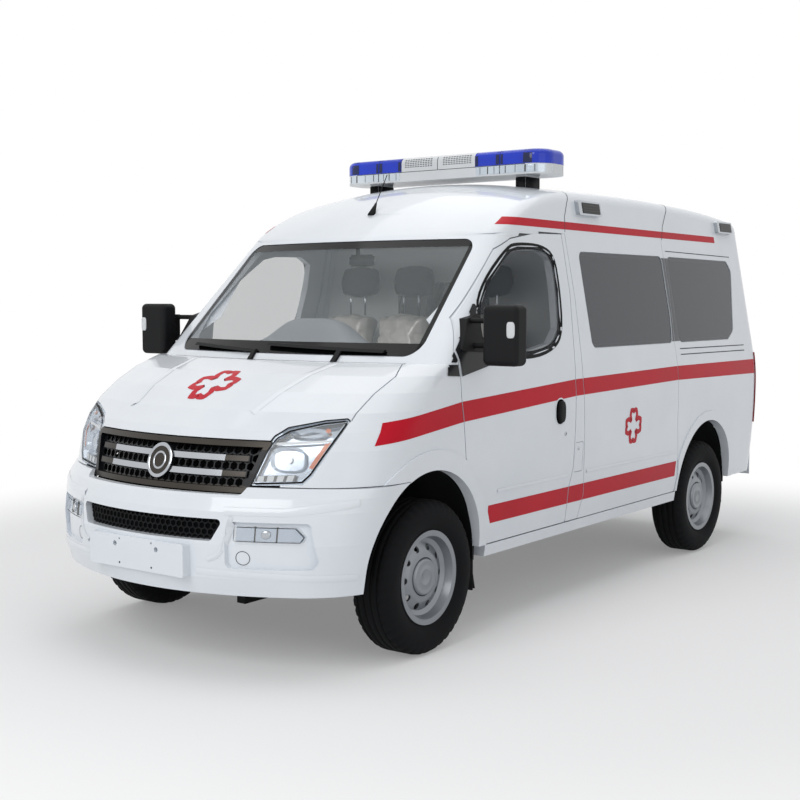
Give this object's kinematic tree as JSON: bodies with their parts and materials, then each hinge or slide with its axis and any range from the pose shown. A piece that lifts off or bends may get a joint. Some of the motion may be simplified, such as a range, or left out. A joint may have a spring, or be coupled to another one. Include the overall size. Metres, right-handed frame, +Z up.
{
  "type": "ambulance van",
  "caption": "Mid-roof ambulance van with a roof light bar, side glass, striped panels, hinged cab and rear doors, opening bonnet and fuel flap, steered front wheels.",
  "frame": {"origin": "on the ground under the middle of the bounding box", "axes": "+X towards the front of the van, +Y to its left, +Z up"},
  "size_m": [4.95, 2.536, 2.505],
  "materials": {
    "white_paint": "gloss",
    "privacy_glass": "dark tint",
    "screen_glass": "clear",
    "tyre": "matt",
    "rim": "silver",
    "black_plastic": "grained",
    "grille_plastic": "satin",
    "lamp_chrome": "bright",
    "lamp_lens": "clear",
    "beacon_blue": "translucent",
    "beacon_base": "satin",
    "tail_red": "translucent",
    "cab_grey": "grained",
    "seat_cloth": "woven",
    "chassis_black": "matt",
    "cast_metal": "as cast",
    "steel": "dull",
    "white_panel": "satin"
  },
  "bodies": {
    "chassis": {"mid_panel_left": "white_paint", "sliding_door_right": "white_paint", "fixed_side_glass": "privacy_glass", "quarter_panels": "white_paint", "door_posts": "white_paint", "front_fenders": "white_paint", "roof": "white_paint", "windscreen_frame": "white_paint", "windscreen": "screen_glass", "cowl": "black_plastic", "front_bumper": "white_paint", "fog_lamps": "lamp_lens", "grille": "grille_plastic", "lower_grille": "grille_plastic", "headlamp_housings": "lamp_chrome", "headlamp_lenses": "lamp_lens", "rear_bumper": "white_paint", "tail_lamps": "tail_red", "sills": "steel", "floor": "chassis_black", "wheel_housings": "black_plastic", "mud_flaps": "black_plastic", "bulkheads": "white_panel", "dashboard": "cab_grey", "seats": "seat_cloth", "load_space_units": "white_panel", "stretcher": "seat_cloth", "engine": "cast_metal", "front_subframe": "chassis_black", "rear_axle": "chassis_black", "exhaust": "steel", "fuel_tank": "chassis_black", "lightbar_base": "beacon_base", "lightbar_domes": "beacon_blue", "side_strobes": "lamp_chrome", "antenna": "black_plastic", "wipers": "black_plastic"},
    "bonnet_lid": {"bonnet": "white_paint"},
    "flap_lid": {"fuel_flap": "white_paint"},
    "steering_hand_wheel": {"steering_wheel": "black_plastic"},
    "cab_door_left": {"front_door_left": "white_paint", "front_door_glass_left": "privacy_glass", "mirror_left": "black_plastic"},
    "tail_door_left": {"rear_door_left": "white_paint", "rear_door_glass_left": "privacy_glass"},
    "steer_left": {"knuckle_left": "cast_metal"},
    "front_wheel_left": {"front_tyre_left": "tyre", "front_rim_left": "rim"},
    "rear_wheel_left": {"rear_tyre_left": "tyre", "rear_rim_left": "rim"},
    "cab_door_right": {"front_door_right": "white_paint", "front_door_glass_right": "privacy_glass", "mirror_right": "black_plastic"},
    "tail_door_right": {"rear_door_right": "white_paint", "rear_door_glass_right": "privacy_glass"},
    "steer_right": {"knuckle_right": "cast_metal"},
    "front_wheel_right": {"front_tyre_right": "tyre", "front_rim_right": "rim"},
    "rear_wheel_right": {"rear_tyre_right": "tyre", "rear_rim_right": "rim"}
  },
  "joints": [
    {"name": "bonnet_hinge", "type": "hinge", "parent": "chassis", "child": "bonnet_lid", "pos_m": [1.429, 0, 1.363], "axis": [0, -1, 0], "range_deg": [0, 50]},
    {"name": "fuel_flap_hinge", "type": "hinge", "parent": "chassis", "child": "flap_lid", "pos_m": [0.116, 0.999, 0.8], "axis": [0, 0, 1], "range_deg": [0, 110]},
    {"name": "steer_turn_left", "type": "hinge", "parent": "chassis", "child": "steer_left", "pos_m": [1.515, 0.8, 0.3645], "axis": [0, 0, 1], "range_deg": [-35, 35]},
    {"name": "steer_turn_right", "type": "hinge", "parent": "chassis", "child": "steer_right", "pos_m": [1.515, -0.8, 0.3645], "axis": [0, 0, 1], "range_deg": [-35, 35]},
    {"name": "steering_column", "type": "hinge", "parent": "chassis", "child": "steering_hand_wheel", "pos_m": [0.82, 0.44, 1.19], "axis": [-0.848, 0, 0.5299], "range_deg": [-490, 490]},
    {"name": "cab_door_hinge_left", "type": "hinge", "parent": "chassis", "child": "cab_door_left", "pos_m": [1.325, 1.003, 1], "axis": [0, 0, -1], "range_deg": [0, 70]},
    {"name": "tail_door_hinge_left", "type": "hinge", "parent": "chassis", "child": "tail_door_left", "pos_m": [-2.475, 0.866, 1.2], "axis": [0, 0, -1], "range_deg": [0, 180]},
    {"name": "front_wheel_spin_left", "type": "hinge", "parent": "steer_left", "child": "front_wheel_left", "pos_m": [1.515, 0.855, 0.3645], "axis": [0, 1, 0], "continuous": true},
    {"name": "rear_wheel_spin_left", "type": "hinge", "parent": "chassis", "child": "rear_wheel_left", "pos_m": [-1.585, 0.855, 0.3645], "axis": [0, 1, 0], "continuous": true},
    {"name": "cab_door_hinge_right", "type": "hinge", "parent": "chassis", "child": "cab_door_right", "pos_m": [1.325, -1.003, 1], "axis": [0, 0, 1], "range_deg": [0, 70]},
    {"name": "tail_door_hinge_right", "type": "hinge", "parent": "chassis", "child": "tail_door_right", "pos_m": [-2.475, -0.866, 1.2], "axis": [0, 0, 1], "range_deg": [0, 180]},
    {"name": "front_wheel_spin_right", "type": "hinge", "parent": "steer_right", "child": "front_wheel_right", "pos_m": [1.515, -0.855, 0.3645], "axis": [0, 1, 0], "continuous": true},
    {"name": "rear_wheel_spin_right", "type": "hinge", "parent": "chassis", "child": "rear_wheel_right", "pos_m": [-1.585, -0.855, 0.3645], "axis": [0, 1, 0], "continuous": true}
  ],
  "couplings": [
    {"joint": "steer_turn_right", "follows": "steer_turn_left", "ratio": 1},
    {"joint": "steering_column", "follows": "steer_turn_left", "ratio": 14}
  ]
}
